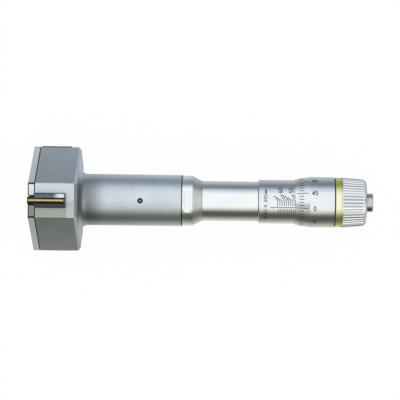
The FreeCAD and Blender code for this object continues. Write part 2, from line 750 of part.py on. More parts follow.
def make_stem_collar():
    body = new_body("stem_collar")
    front = "stem_back - joint_length + seat_gap"
    turn(
        body,
        "collar",
        [
            (front, "handle_bore"),
            (front, "joint_radius - seat_gap"),
            ("collar_front", "joint_radius - seat_gap"),
            ("collar_front", "collar_radius"),
            ("collar_back", "collar_radius"),
            ("collar_back", "handle_spigot + seat_gap"),
            ("collar_front", "handle_spigot + seat_gap"),
            ("collar_front", "handle_bore"),
        ],
    )
    flats = new_sketch(body, "flat_outline", "XZ_Plane")
    start = "collar_front + spanner_start"
    stop = f"{start} + spanner_width"
    draw_rectangle(flats, start, stop, "spanner_flats / 2", "collar_radius + over_cut")
    cut = extrude(body, "spanner_flat", flats, "collar_radius * 2", kind="Pocket", both_sides=True)
    repeat_round_axis(body, "spanner_flat_pair", [cut], "2")
    return body


def make_shoulder_adapter():
    body = new_body("shoulder_adapter")
    bore = "handle_spigot + seat_gap"
    turn(
        body,
        "shoulder",
        [
            ("collar_back", bore),
            ("collar_back", "shoulder_radius"),
            ("shoulder_back", "handle_radius"),
            ("shoulder_back", bore),
        ],
    )
    return body


def make_handle_barrel():
    """The handle, its front spigot, and the tail that carries the sleeve and the nut, turned in one piece."""
    body = new_body("handle_barrel")
    turn(
        body,
        "barrel",
        [
            ("collar_front + seat_gap", "handle_bore"),
            ("collar_front + seat_gap", "handle_spigot"),
            ("shoulder_back", "handle_spigot"),
            ("shoulder_back", "handle_radius - handle_edge"),
            ("shoulder_back + handle_edge", "handle_radius"),
            ("handle_end - handle_edge", "handle_radius"),
            ("handle_end", "handle_radius - handle_edge"),
            ("handle_end", "tail_radius"),
            ("tail_back", "tail_radius"),
            ("tail_back", "nut_radius + seat_gap"),
            ("nut_front", "nut_radius + seat_gap"),
            ("nut_front", "spindle_radius + bearing_relief"),
            ("bearing_end", "spindle_radius + bearing_relief"),
            ("bearing_end", "spindle_radius + turn_gap"),
            ("bearing_start", "spindle_radius + turn_gap"),
            ("bearing_start", "handle_bore"),
        ],
    )
    return body


def make_graduated_sleeve():
    body = new_body("graduated_sleeve")
    bore = "tail_radius + seat_gap"
    turn(
        body,
        "sleeve",
        [
            ("handle_end", bore),
            ("handle_end", "sleeve_radius - handle_edge"),
            ("handle_end + handle_edge", "sleeve_radius"),
            ("sleeve_back", "sleeve_radius"),
            ("sleeve_back", bore),
        ],
    )
    return body


def make_spindle_nut():
    """The threaded bush, slit at the back so that the adjusting nut can close it on the spindle."""
    body = new_body("spindle_nut")
    bore = "thread_radius + turn_gap"
    turn(
        body,
        "nut",
        [
            ("nut_front + seat_gap", bore),
            ("nut_front + seat_gap", "nut_radius"),
            ("sleeve_back", "nut_radius"),
            ("sleeve_back", bore),
        ],
    )
    slit = new_sketch(body, "slit_outline", "XZ_Plane")
    draw_rectangle(slit, "tail_back", "sleeve_back + over_cut", "0", "nut_radius + over_cut")
    cut = extrude(body, "slit", slit, "nut_slit", kind="Pocket", both_sides=True)
    repeat_round_axis(body, "slits", [cut], "nut_slits")
    return body


def make_adjusting_nut():
    body = new_body("adjusting_nut")
    front, back = "adjuster_front", "adjuster_back"
    bore = "nut_radius + seat_gap"
    turn(
        body,
        "nut",
        [(front, bore), (front, "adjuster_radius"), (back, "adjuster_radius"), (back, bore)],
    )
    notch = new_sketch(body, "notch_outline", "XZ_Plane")
    floor, top = f"{back} - adjuster_notch_depth", f"{back} + over_cut"
    draw_rectangle(notch, floor, top, "nut_radius", "adjuster_radius + over_cut")
    cut = extrude(body, "notch", notch, "adjuster_notch", kind="Pocket", both_sides=True)
    repeat_round_axis(body, "notches", [cut], "adjuster_notches")
    return body


# Spindle and thimble


def make_spindle():
    body = new_body("spindle")
    turn(
        body,
        "spindle",
        [
            ("spindle_front + 2 * ball_radius - ball_proud", "0"),
            ("spindle_front + 2 * ball_radius - ball_proud", "ball_radius + seat_gap"),
            ("spindle_front", "ball_radius + seat_gap"),
            ("spindle_front", "spindle_radius"),
            ("thread_front", "spindle_radius"),
            ("thread_front", "thread_radius"),
            ("boss_front", "thread_radius"),
            ("boss_front", "taper_radius"),
            ("thimble_back", "taper_radius - taper_fall"),
            ("thimble_back", "shank_radius + seat_gap"),
            ("thimble_back - shank_depth - seat_gap", "shank_radius + seat_gap"),
            ("thimble_back - shank_depth - seat_gap", "0"),
        ],
    )
    return body


def make_spindle_ball():
    ball = doc.addObject("Part::Sphere", "spindle_ball")
    ball.Label = "spindle_ball"
    bind(ball, Radius="ball_radius")
    ball.setExpression(".Placement.Base.x", formula("rod_end + ball_gap + ball_radius"))
    return ball


def make_thimble():
    body = new_body("thimble")
    bore = "sleeve_radius + turn_gap"
    turn(
        body,
        "thimble",
        [
            ("thimble_edge", bore),
            ("thimble_edge", "edge_radius"),
            ("thimble_edge + bevel_length", "thimble_radius"),
            ("thimble_back", "thimble_radius"),
            ("thimble_back", "taper_radius - taper_fall + seat_gap"),
            ("boss_front", "taper_radius + seat_gap"),
            ("boss_front", bore),
        ],
    )
    return body


def make_ring(label, front, back, radius):
    body = new_body(label)
    bore = "hub_flange + seat_gap"
    turn(body, "ring", [(front, bore), (front, radius), (back, radius), (back, bore)])
    return body


# Ratchet


def add_teeth(body, face, direction):
    """Saw teeth on a face across the axis: direction 1 points them back, -1 towards the front."""
    tooth = new_sketch(body, "tooth_outline", "XY_Plane", height="tooth_start")
    root = f"{face} - {direction} * tooth_root"
    crest = f"{face} + {direction} * tooth_height"
    draw_polygon(
        tooth,
        [(root, "-tooth_width / 2"), (root, "tooth_width / 2"), (crest, f"{direction} * tooth_width / 2")],
    )
    raised = extrude(body, "tooth", tooth, "tooth_length")
    repeat_round_axis(body, "teeth", [raised], "tooth_count")


def make_ratchet_hub():
    """Clamped to the thimble by the ratchet screw: a flange with the driving teeth, and a tube for the knob."""
    body = new_body("ratchet_hub")
    bore = "shank_radius + seat_gap"
    turn(
        body,
        "hub",
        [
            ("thimble_back", bore),
            ("thimble_back", "hub_flange"),
            ("hub_face", "hub_flange"),
            ("hub_face", "hub_radius"),
            ("nub_front", "hub_radius"),
            ("nub_front", bore),
        ],
    )
    add_teeth(body, "hub_face", 1)
    return body


def make_ratchet_disc():
    body = new_body("ratchet_disc")
    bore = "hub_radius + turn_gap"
    turn(
        body,
        "disc",
        [("disc_front", bore), ("disc_front", "disc_radius"), ("disc_back", "disc_radius"), ("disc_back", bore)],
    )
    add_teeth(body, "disc_front", -1)
    lug = new_sketch(body, "lug_outline", "YZ_Plane", height="disc_front")
    draw_rectangle(lug, "-lug_width / 2", "lug_width / 2", "disc_radius - over_cut", "disc_radius + lug_height")
    lugs = [extrude(body, "lug", lug, "disc_length")]
    repeat_round_axis(body, "lugs", lugs, "2")
    return body


def make_ratchet_spring():
    body = new_body("ratchet_spring")
    start = "disc_back + seat_gap"
    length = "(knob_floor - disc_back - 2 * seat_gap)"
    coil(body, "winding", start, "ratchet_coil - ratchet_wire", "ratchet_wire", length, "ratchet_turns")
    return body


def make_ratchet_knob():
    """A cap with flutes that follow its slight taper, two inner keyways for the disc's lugs and a back wall."""
    body = new_body("ratchet_knob")
    bore = "hub_radius + turn_gap"
    rounding = [
        (
            f"knob_back - knob_round * (1 - sin({angle} deg))",
            f"knob_back_radius - knob_round * (1 - cos({angle} deg))",
        )
        for angle in (0, 30, 60, 90)
    ]
    taper = "((knob_radius - knob_back_radius) / (knob_length - knob_round))"
    turn(
        body,
        "knob",
        [
            ("knob_front", "knob_bore"),
            ("knob_front", "knob_radius"),
            *rounding,
            ("knob_back", bore),
            ("knob_floor", bore),
            ("knob_floor", "knob_bore"),
        ],
    )
    keyway = new_sketch(body, "keyway_outline", "YZ_Plane", height="knob_floor")
    half = "(lug_width / 2 + dog_gap)"
    draw_rectangle(keyway, f"-{half}", half, "knob_bore - over_cut", "disc_radius + lug_height + dog_gap")
    cuts = [extrude(body, "keyway", keyway, "knob_floor - knob_front + over_cut", kind="Pocket")]
    repeat_round_axis(body, "keyways", cuts, "2")
    flute = new_sketch(
        body,
        "flute_outline",
        "YZ_Plane",
        height="knob_back",
        across=f"knob_back_radius - knob_round * {taper}",
        tilt=f"atan({taper})",
    )
    spread = "flute_width / 2 * (1 + flute_rise / flute_depth)"
    draw_polygon(flute, [(f"-({spread})", "flute_rise"), ("0", "-flute_depth"), (spread, "flute_rise")])
    cuts = [extrude(body, "flute", flute, "knob_length - knob_rim", kind="Pocket")]
    repeat_round_axis(body, "flutes", cuts, "flute_count")
    return body


def make_ratchet_screw():
    """The end nub: a round head with a spanner hole, and the shank that clamps hub, thimble and spindle."""
    body = new_body("ratchet_screw")
    turn(
        body,
        "screw",
        [
            ("thimble_back - shank_depth", "0"),
            ("thimble_back - shank_depth", "shank_radius"),
            ("nub_front", "shank_radius"),
            ("nub_front", "nub_radius"),
            ("nub_back", "nub_radius"),
            ("nub_back", "0"),
        ],
    )
    dress(
        body,
        "back_edge",
        "Fillet",
        lambda e: near(e.BoundBox.XMin, "nub_back") and near(e.BoundBox.ZMax, "nub_radius"),
        Radius="nub_round",
    )
    hole = new_sketch(body, "hole_outline", "XY_Plane", height="nub_radius")
    draw_circle(hole, "nub_front + nub_hole_place", "0", "nub_hole")
    extrude(body, "hole", hole, "nub_hole_depth", kind="Pocket")
    body.Placement = Placement(Vector(), Rotation(Vector(1, 0, 0), 1))
    body.setExpression(".Placement.Rotation.Angle", formula("nub_hole_angle * 1 deg"))
    return body


pieces = [make_head_body(), make_front_plate(), make_front_plate_screws(), make_anvil_spring_pins()]
for label, turned in ANVIL_ANGLES:
    pieces += [make_anvil(label, turned), make_anvil_tip(label, turned), make_anvil_spring(label, turned)]
pieces += [make_measuring_cone(), make_push_rod(), make_rod_guide_bush(), make_guide_screw()]
pieces += [make_rod_return_spring(), make_stem_collar(), make_shoulder_adapter(), make_handle_barrel()]
pieces += [make_graduated_sleeve(), make_spindle_nut(), make_adjusting_nut()]
pieces += [make_spindle(), make_spindle_ball(), make_thimble()]
pieces += [make_ring("seal_ring", "thimble_back", "seal_back", "seal_radius")]
pieces += [make_ring("colour_ring", "seal_back", "ring_back", "ring_radius")]
pieces += [make_ratchet_hub(), make_ratchet_disc(), make_ratchet_spring(), make_ratchet_knob()]
pieces += [make_ratchet_screw()]
doc.recompute()

failed = [thing.Name for thing in doc.Objects if {"Invalid", "Error"} & set(thing.State)]
failed += [piece.Label for piece in pieces if piece.Shape.isNull() or not piece.Shape.isValid()]
if failed:
    raise SystemExit(f"these objects failed: {', '.join(failed)}")

os.makedirs("parts", exist_ok=True)
for piece in pieces:
    piece.Shape.exportStep(f"parts/{piece.Label}.step")
    print(f"{piece.Label}: {len(piece.Shape.Solids)} solids, {piece.Shape.Volume:.2f} mm3")
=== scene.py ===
from math import pi, radians

import bpy
import numpy as np
from mathutils import Euler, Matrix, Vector


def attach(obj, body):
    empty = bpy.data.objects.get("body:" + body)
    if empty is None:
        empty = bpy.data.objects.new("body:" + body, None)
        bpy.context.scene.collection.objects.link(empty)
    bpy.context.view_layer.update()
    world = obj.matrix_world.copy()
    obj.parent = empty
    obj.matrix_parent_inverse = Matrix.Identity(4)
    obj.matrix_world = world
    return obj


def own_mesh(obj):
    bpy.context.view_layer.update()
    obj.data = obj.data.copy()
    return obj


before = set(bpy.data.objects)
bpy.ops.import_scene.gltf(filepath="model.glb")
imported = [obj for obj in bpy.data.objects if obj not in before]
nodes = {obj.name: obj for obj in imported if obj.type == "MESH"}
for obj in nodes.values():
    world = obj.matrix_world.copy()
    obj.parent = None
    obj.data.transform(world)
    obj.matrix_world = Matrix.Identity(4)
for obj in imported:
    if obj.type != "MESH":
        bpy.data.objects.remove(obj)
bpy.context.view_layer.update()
mm = 0.001
print("frame loaded:", len(nodes), "nodes")


# Colours and nodes

def linear(hexColour):
    # sRGB hex to linear: c/12.92 below 0.04045, else ((c + 0.055)/1.055)^2.4
    parts = [int(hexColour[i:i + 2], 16) / 255 for i in (1, 3, 5)]
    return tuple(c / 12.92 if c <= 0.04045 else ((c + 0.055) / 1.055) ** 2.4 for c in parts) + (1.0,)


def addNode(tree, kind, sockets=None, **settings):
    # one node: settings are its own properties, sockets are values or links by input name or number
    node = tree.nodes.new(kind)
    for name, value in settings.items():
        setattr(node, name, value)
    for name, value in (sockets or {}).items():
        if isinstance(value, bpy.types.NodeSocket):
            tree.links.new(value, node.inputs[name])
        else:
            node.inputs[name].default_value = value
    return node


def emptyMaterial(name):
    material = bpy.data.materials.new(name)
    material.use_nodes = True
    material.node_tree.nodes.clear()
    return material, material.node_tree


def grain(tree, size, *levels, stretch=(1.0, 1.0, 1.0), detail=2.0, roughness=0.5):
    # noise with a mean size in mm, stretch times as fine along X, Y and Z: first as it is, then laid over
    # each pair of levels
    place = addNode(tree, "ShaderNodeTexCoord")
    squeezed = addNode(tree, "ShaderNodeMapping", {"Vector": place.outputs["Object"], "Scale": stretch})
    noise = addNode(tree, "ShaderNodeTexNoise", {
        "Vector": squeezed.outputs["Vector"], "Scale": 1 / (size * mm), "Detail": detail,
        "Roughness": roughness}).outputs["Fac"]
    laid = [addNode(tree, "ShaderNodeMapRange", {
        "Value": noise, "From Min": 0.3, "From Max": 0.7, "To Min": low, "To Max": high}).outputs["Result"]
        for low, high in levels]
    return [noise, *laid]


# What a layer of colour can be limited by besides x, y, z, the distance r from the tool's axis and facing,
# which is 0 where the surface is seen square on: an operation and its terms, which stand above it, in mm
sums = {
    "turn": ("ARCTAN2", "y", "z"),                  # a, from the top
    "thrice": ("MULTIPLY", "turn", 3.0),
    "middle": ("COSINE", "thrice"),                 # cos 3a: 1 on the middle of each anvil
    "sine": ("SINE", "thrice"),
    "third": ("DIVIDE", "sine", 3.0),
    "across": ("MULTIPLY", "r", "third"),           # r sin 3a / 3: the distance across an anvil
    "away": ("ABSOLUTE", "across"),
    "upward": ("DIVIDE", "z", "r"),
    "rSquared": ("MULTIPLY", "r", "r"),
    "acrossSquared": ("MULTIPLY", "across", "across"),
    "heightSquared": ("SUBTRACT", "rSquared", "acrossSquared"),
    "height": ("SQRT", "heightSquared"),            # from the axis to the plane of the nearest flat
    "knobSkin": ("MULTIPLY_ADD", "x", -0.078, 22.7352),     # radius over the flutes, 11.55 at x 143.4
    "fluteDepth": ("SUBTRACT", "knobSkin", "r"),
    "alongScrew": ("SUBTRACT", "x", 50.5),          # from the guide screw's middle
    "ySquared": ("MULTIPLY", "y", "y"),
    "spotSquared": ("MULTIPLY_ADD", "alongScrew", "alongScrew", "ySquared"),
    "spot": ("SQRT", "spotSquared"),
}


def pieceValues(tree, layers):
    # the values that the layers are limited by and those they are worked out from, by name
    place = addNode(tree, "ShaderNodeTexCoord")
    sized = addNode(tree, "ShaderNodeVectorMath", {
        0: place.outputs["Object"], "Scale": 1 / mm}, operation="SCALE")
    apart = addNode(tree, "ShaderNodeSeparateXYZ", {0: sized.outputs["Vector"]})
    aside = addNode(tree, "ShaderNodeVectorMath", {
        0: sized.outputs["Vector"], 1: (0.0, 1.0, 1.0)}, operation="MULTIPLY")
    distance = addNode(tree, "ShaderNodeVectorMath", {0: aside.outputs["Vector"]}, operation="LENGTH")
    facing = addNode(tree, "ShaderNodeLayerWeight", {"Blend": 0.5})
    known = {axis.lower(): apart.outputs[axis] for axis in "XYZ"}
    known.update(r=distance.outputs["Value"], facing=facing.outputs["Facing"])
    needed = {limit[0] for _, *limits in layers for limit in limits}
    for name, (_, *terms) in reversed(sums.items()):
        if name in needed:
            needed.update(term for term in terms if isinstance(term, str))
    for name, (operation, *terms) in sums.items():
        if name in needed:
            inputs = {number: known.get(term, term) for number, term in enumerate(terms)}
            known[name] = addNode(tree, "ShaderNodeMath", inputs, operation=operation).outputs["Value"]
    return known


def painted(tree, tone, layers):
    # Lays each layer's colour over the tone. Its limits are (value, start, full), with the colour's share
    # rising smoothly from 0 to 1 between them, or between two shares where these are added.
    # The shares of a layer's limits are multiplied.
    known = pieceValues(tree, layers)
    for colour, *limits in layers:
        share = 1.0
        for name, start, full, *shares in limits:
            low, high = shares or (0.0, 1.0)
            rise = addNode(tree, "ShaderNodeMapRange", {
                "Value": known[name], "From Min": start, "From Max": full, "To Min": low, "To Max": high},
                interpolation_type="SMOOTHSTEP")
            share = addNode(tree, "ShaderNodeMath", {
                0: rise.outputs["Result"], 1: share}, operation="MULTIPLY").outputs["Value"]
        tone = addNode(tree, "ShaderNodeMix", {
            "Factor": share, 6: tone, 7: linear(colour)}, data_type="RGBA").outputs[2]
    return tone


def edgeWear(tree, radius):
    # rounds the shading of sharp edges over radius in mm and says where an edge is:
    # 1 - N(rounded).N(face), which is 0 on a flat and grows at an edge
    rounded = addNode(tree, "ShaderNodeBevel", {"Radius": radius * mm}, samples=4)
    face = addNode(tree, "ShaderNodeNewGeometry")
    along = addNode(tree, "ShaderNodeVectorMath", {
        0: rounded.outputs["Normal"], 1: face.outputs["Normal"]}, operation="DOT_PRODUCT")
    edge = addNode(tree, "ShaderNodeMapRange", {
        "Value": along.outputs["Value"], "From Min": 0.995, "From Max": 0.8, "To Min": 0.0, "To Max": 1.0})
    return rounded.outputs["Normal"], edge.outputs["Result"]


def metal(name, colour, stain, roughness, marks, blotch=9.0, wear=None, worn="#E4E6E8", metallic=1.0,
          crevice=0.25, layers=()):
    # A metal surface: colour and stain are its two tones, in blotches of a size in mm, roughness is (low,
    # high), marks are (spacing mm, stretch, depth mm) of the tool marks, wear is the edge rounding in mm and
    # worn the tone there, crevice is what a painted shade leaves of the tone in the deepest corners, and
    # layers are painted over the tone
    material, tree = emptyMaterial(name)
    spacing, stretch, depth = marks
    cloud, mottle = grain(tree, blotch, (0.0, 1.0))
    lines, dullness, rough = grain(
        tree, spacing, (1.0, 0.96), roughness, stretch=stretch, detail=3.0, roughness=0.65)
    tone = addNode(tree, "ShaderNodeMix", {
        "Factor": mottle, 6: linear(colour), 7: linear(stain)}, data_type="RGBA").outputs[2]
    # painted shade darkens what lies in a crevice narrower than a millimetre or so
    openness = addNode(tree, "ShaderNodeAmbientOcclusion", {"Distance": 1.2 * mm}, samples=6)
    unshaded = addNode(tree, "ShaderNodeMapRange", {
        "Value": openness.outputs["AO"], "From Min": 0.2, "From Max": 0.75, "To Min": crevice, "To Max": 1.0})
    shade = addNode(tree, "ShaderNodeMath", {0: dullness, 1: unshaded.outputs["Result"]}, operation="MULTIPLY")
    tone = addNode(tree, "ShaderNodeVectorMath", {
        0: tone, "Scale": shade.outputs["Value"]}, operation="SCALE").outputs["Vector"]
    bump = {"Height": lines, "Strength": 1.0, "Distance": depth * mm}
    if wear:
        bump["Normal"], edge = edgeWear(tree, wear)
        scuffed = addNode(tree, "ShaderNodeMath", {0: edge, 1: cloud}, operation="MULTIPLY")
        tone = addNode(tree, "ShaderNodeMix", {
            "Factor": scuffed.outputs["Value"], 6: tone, 7: linear(worn)}, data_type="RGBA").outputs[2]
    if layers:
        tone = painted(tree, tone, layers)
    surface = addNode(tree, "ShaderNodeBsdfPrincipled", {
        "Base Color": tone, "Metallic": metallic, "Roughness": rough,
        "Normal": addNode(tree, "ShaderNodeBump", bump).outputs["Normal"]})
    addNode(tree, "ShaderNodeOutputMaterial", {"Surface": surface.outputs["BSDF"]})
    return material


# Finishes, each named for what the real one is

headLayers = (
    # painted shade: one half of each flat darker than the other, less so near its end
    ("#A9AFA8", ("middle", 0.5, 0.56), ("across", 0.6, -0.9), ("x", 21.0, 20.7), ("x", 17.2, 18.0, 1.0, 0.5)),
    # shade in the corner behind the block, deepest from above
    ("#1E2122", ("x", 21.7, 23.0), ("x", 36.0, 26.0), ("upward", 0.45, 0.95, 0.07, 0.6)),
    # joints with the front plate and the collar
    ("#36393C", ("x", 3.4, 3.3)),
    ("#36393C", ("x", 69.25, 69.4)),
)

# Steel under satin hard chrome, turned on the stem and surface ground on the flats: a soft cool grey
# whose fine marks run round the stem and across the flats, 0.25 mm apart so that they still show
satinChromedSteel = metal(
    "satin_chromed_steel", "#DAE1E7", "#D2D8DE", (0.33, 0.41), (0.25, (1.0, 0.03, 0.03), 0.0013), wear=0.25,
    layers=headLayers)

# where a layer of the plate shows only on its three narrow flats, so that the front face stays clean
onPlateFlats = (("middle", 0.5, 0.55), ("height", 22.85, 23.0))
plateLayers = (
    # painted shade: one half of each flat darker than the other
    ("#B2AAA4", *onPlateFlats, ("across", 0.4, -0.4)),
    # black along the joint with the head, and painted shade along the front edge, the flats' ends and beside
    # the anvils' notches
    ("#232527", ("x", 2.8, 2.95)),
    ("#232527", *onPlateFlats, ("x", 0.6, 0.42)),
    ("#232527", *onPlateFlats, ("away", 6.3, 6.5), ("middle", 0.53, 0.55)),
    ("#232527", *onPlateFlats, ("away", 2.45, 2.3)),
)

# The front plate: lapped and chromed bright, so that it shows the lamp
lappedBrightPlate = metal(
    "lapped_bright_plate", "#EEF0F2", "#E6E9EB", (0.04, 0.07), (0.22, (0.6, 1.0, 0.03), 0.0003), wear=0.3,
    metallic=0.7, layers=plateLayers)

# Hardened tool steel, ground and left bare: darker and sharper than the chrome
groundToolSteel = metal(
    "ground_tool_steel", "#8F9295", "#7E8184", (0.2, 0.3), (0.2, (1.0, 0.05, 1.0), 0.002), wear=0.12)

onCrest = ("r", 25.9, 26.3)
bladeLayers = (
    # the flanks beside the crest, in the shade of the slot
    ("#47454B", ("r", 24.3, 24.8), ("away", 3.0, 3.15, 0.0, 0.8)),
    # the crest, with painted shade and reflections: one half dark, the other with a dark rim and the lamp's
    # glint at its back end
    ("#4A4D50", onCrest, ("across", 0.2, -0.6)),
    ("#4A5460", onCrest, ("across", 2.2, 2.9, 0.0, 0.75)),
    ("#EDF0F8", onCrest, ("x", 11.4, 14.8), ("x", 17.0, 16.6), ("across", 1.1, 1.6)),
    # the coated nose
    ("#7A6630", ("r", 24.5, 25.5), ("x", 3.7, 3.2)),
    # black round the strip's end and along it
    ("#17181A", onCrest, ("x", 16.4, 16.6), ("away", 1.5, 1.35)),
    ("#17181A", onCrest, ("away", 1.45, 1.2)),
)

# The anvils' blades, ground and lapped dark between the chromed parts
lappedBladeSteel = metal(
    "lapped_blade_steel", "#7E8286", "#6C6F73", (0.12, 0.2), (0.2, (1.0, 0.05, 1.0), 0.001), blotch=4.0,
    wear=0.12, worn="#9DA0A3", layers=bladeLayers)

stripLayers = (
    # painted shade and highlight: one side darker, the crest paler, the sides nearly black
    ("#6F6636", ("across", -0.1, -0.45, 0.0, 0.9)),
    ("#E3DBB2", ("across", -0.3, 0.0), ("across", 0.4, 0.15, 0.0, 0.75)),
    ("#2E2A16", ("away", 0.66, 0.86)),
)

# Titanium nitride on the carbide measuring strips: a warm pale gold with a fine polish along the strip
titaniumNitride = metal(
    "titanium_nitride", "#A89D66", "#958952", (0.13, 0.2), (0.1, (0.05, 1.0, 1.0), 0.0006), blotch=3.0,
    layers=stripLayers)

# Bright chrome over a turned and buffed barrel: nearly a mirror, with faint rings from the lathe
brightChrome = metal(
    "bright_chrome", "#F5F7F8", "#F0F2F4", (0.07, 0.11), (0.35, (1.0, 0.02, 0.02), 0.0003), blotch=14.0,
    wear=0.15, worn="#F4F5F6", crevice=0.85)

# Chrome over a finely blasted cone: even, silky and a little darker
blastedChrome = metal(
    "blasted_chrome", "#E3E7E4", "#DBDFDC", (0.24, 0.3), (0.12, (1.0, 1.0, 1.0), 0.003), wear=0.4,
    crevice=0.9)

# Satin chrome that micrometers carry under their graduations, so that they read without glare
satinScaleChrome = metal(
    "satin_scale_chrome", "#F0F2F3", "#E9EBED", (0.12, 0.18), (0.14, (1.0, 0.06, 0.06), 0.0006), blotch=12.0,
    wear=0.15, worn="#F2F3F4")

fluteLayers = (
    # fewer lamps for what faces aside
    ("#7B787A", ("facing", 0.55, 0.8, 0.0, 0.85)),
    # painted shade in the bottoms of the flutes, weaker where the surface is seen square on
    ("#39383A", ("fluteDepth", 0.3, 0.37), ("x", 153.4, 152.8), ("facing", 0.08, 0.3, 0.12, 1.0)),
)

# The knob's chrome, brightened on the crests of the flutes by fingers
flutedChrome = metal(
    "fluted_chrome", "#F3F4F5", "#EAECEE", (0.12, 0.2), (0.3, (1.0, 0.1, 0.1), 0.001), wear=0.12,
    worn="#FAFBFB", metallic=0.94, crevice=0.85, layers=fluteLayers)

# Steel nub turned across its end, with rings round the axis
turnedSteel = metal(
    "turned_steel", "#CDD0D2", "#C0C3C6", (0.2, 0.3), (0.3, (1.0, 0.05, 0.05), 0.002), wear=0.15)

screwLayers = (
    # the socket's floor, paler in its middle
    ("#C9CDD0", ("spot", 0.55, 0.3, 0.0, 0.6)),
)

# Black oxide on steel screws: nearly black, with bare metal showing at the edges
blackOxide = metal(
    "black_oxide", "#2B2C2E", "#1C1D1F", (0.32, 0.42), (0.2, (1.0, 1.0, 1.0), 0.002), blotch=1.5, wear=0.1,
    worn="#7C7F82", layers=screwLayers)

# Bearing bronze as it comes off the lathe
turnedBronze = metal(
    "turned_bronze", "#B08A52", "#9A7440", (0.24, 0.34), (0.3, (1.0, 0.05, 0.05), 0.002), wear=0.15,
    worn="#D3B27C")

# Music wire, drawn smooth, with a trace of oil
springWire = metal(
    "spring_wire", "#8B8E92", "#74777B", (0.22, 0.32), (0.15, (1.0, 1.0, 1.0), 0.001), blotch=2.0)

# Lapped bearing ball
lappedSteel = metal(
    "lapped_steel", "#C6C9CC", "#BABEC1", (0.05, 0.08), (0.1, (1.0, 1.0, 1.0), 0.0002), blotch=3.0)


def glossyCoat(name, colour, stain, roughness, coat, speckle):
    # A surface that isn't metal: two close tones, a fine orange peel of speckle mm, a clear coat
    material, tree = emptyMaterial(name)
    mottle = grain(tree, 6.0, (0.0, 1.0))[1]
    peel, rough = grain(tree, speckle, roughness)
    tone = addNode(tree, "ShaderNodeMix", {
        "Factor": mottle, 6: linear(colour), 7: linear(stain)}, data_type="RGBA").outputs[2]
    bump = addNode(tree, "ShaderNodeBump", {"Height": peel, "Strength": 1.0, "Distance": 0.004 * mm})
    surface = addNode(tree, "ShaderNodeBsdfPrincipled", {
        "Base Color": tone, "Roughness": rough, "Coat Weight": coat, "Coat Roughness": 0.08, "IOR": 1.5,
        "Normal": bump.outputs["Normal"]})
    addNode(tree, "ShaderNodeOutputMaterial", {"Surface": surface.outputs["BSDF"]})
    return material


ringHighlightLayers = (
    # painted highlight: seen square on, the ring is paler than at the sides
    ("#F8F7CE", ("facing", 0.26, 0.08)),
)

# The ring that tells one size of the set from the next: aluminium anodised yellow-green, satin turned
yellowAnodised = metal(
    "yellow_anodised", "#FAFC7E", "#F3F570", (0.28, 0.36), (0.2, (1.0, 0.05, 0.05), 0.001), wear=0.1,
    worn="#F4F6BC", layers=ringHighlightLayers)

# Nitrile rubber seal: black and dull
nitrileRubber = glossyCoat("nitrile_rubber", "#17181A", "#202123", (0.55, 0.65), 0.0, 0.3)

# Black filling of the engraved marks, with a slight sheen
markInk = glossyCoat("mark_ink", "#151618", "#1D1E21", (0.4, 0.5), 0.0, 0.2)

finishes = {
    satinChromedSteel: ["head_body"],
    lappedBrightPlate: ["front_plate"],
    lappedBladeSteel: ["anvil_top", "anvil_right", "anvil_left"],
    groundToolSteel: [
        "anvil_spring_pins", "measuring_cone", "push_rod",
        "adjusting_nut", "spindle", "ratchet_hub", "ratchet_disc"],
    titaniumNitride: ["anvil_tip_top", "anvil_tip_right", "anvil_tip_left"],
    brightChrome: ["stem_collar", "handle_barrel"],
    blastedChrome: ["shoulder_adapter"],
    satinScaleChrome: ["graduated_sleeve", "thimble"],
    flutedChrome: ["ratchet_knob"],
    turnedSteel: ["ratchet_screw"],
    blackOxide: ["front_plate_screws", "guide_screw"],
    turnedBronze: ["rod_guide_bush", "spindle_nut"],
    springWire: [
        "anvil_spring_top", "anvil_spring_right", "anvil_spring_left", "rod_return_spring", "ratchet_spring"],
    lappedSteel: ["spindle_ball"],
    yellowAnodised: ["colour_ring"],
    nitrileRubber: ["seal_ring"],
}
for material, names in finishes.items():
    for name in names:
        nodes[name].data.materials.clear()
        nodes[name].data.materials.append(material)
unfinished = set(nodes) - {name for names in finishes.values() for name in names}
print("finishes given:", len(finishes), "nodes left:", sorted(unfinished))

# Springs shorten towards their fixed ends as the tool opens: each has its joint, its direction, the place of
# the fixed end along it, its length at rest and what it gives up at the joint's far limit, in mm. Here each
# only gets a mesh of its own.
springs = {
    "rod_return_spring": ("cone_feed", (1, 0, 0), 55.53, 14.44, 8.5),
    "anvil_spring_top": ("top_anvil_slide", (0, 0, 1), 15.47, 8.79, 4.251),
    "anvil_spring_right": ("right_anvil_slide", (0, -0.866025, -0.5), 15.47, 8.79, 4.251),
    "anvil_spring_left": ("left_anvil_slide", (0, 0.866025, -0.5), 15.47, 8.79, 4.251),
}
for name, (joint, way, place, length, given) in springs.items():
    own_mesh(nodes[name])
print("springs that shorten:", len(springs))


# Graduations: bars of ink carried along lines that lie on the turned surfaces

def newPiece(name, points, faces, material, body):
    # points in mm in the part's own frame
    mesh = bpy.data.meshes.new(name)
    mesh.from_pydata((np.asarray(points) * mm).tolist(), [], [list(map(int, f)) for f in faces])
    mesh.materials.append(material)
    piece = bpy.data.objects.new(name, mesh)
    bpy.context.scene.collection.objects.link(piece)
    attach(piece, body)
    return piece


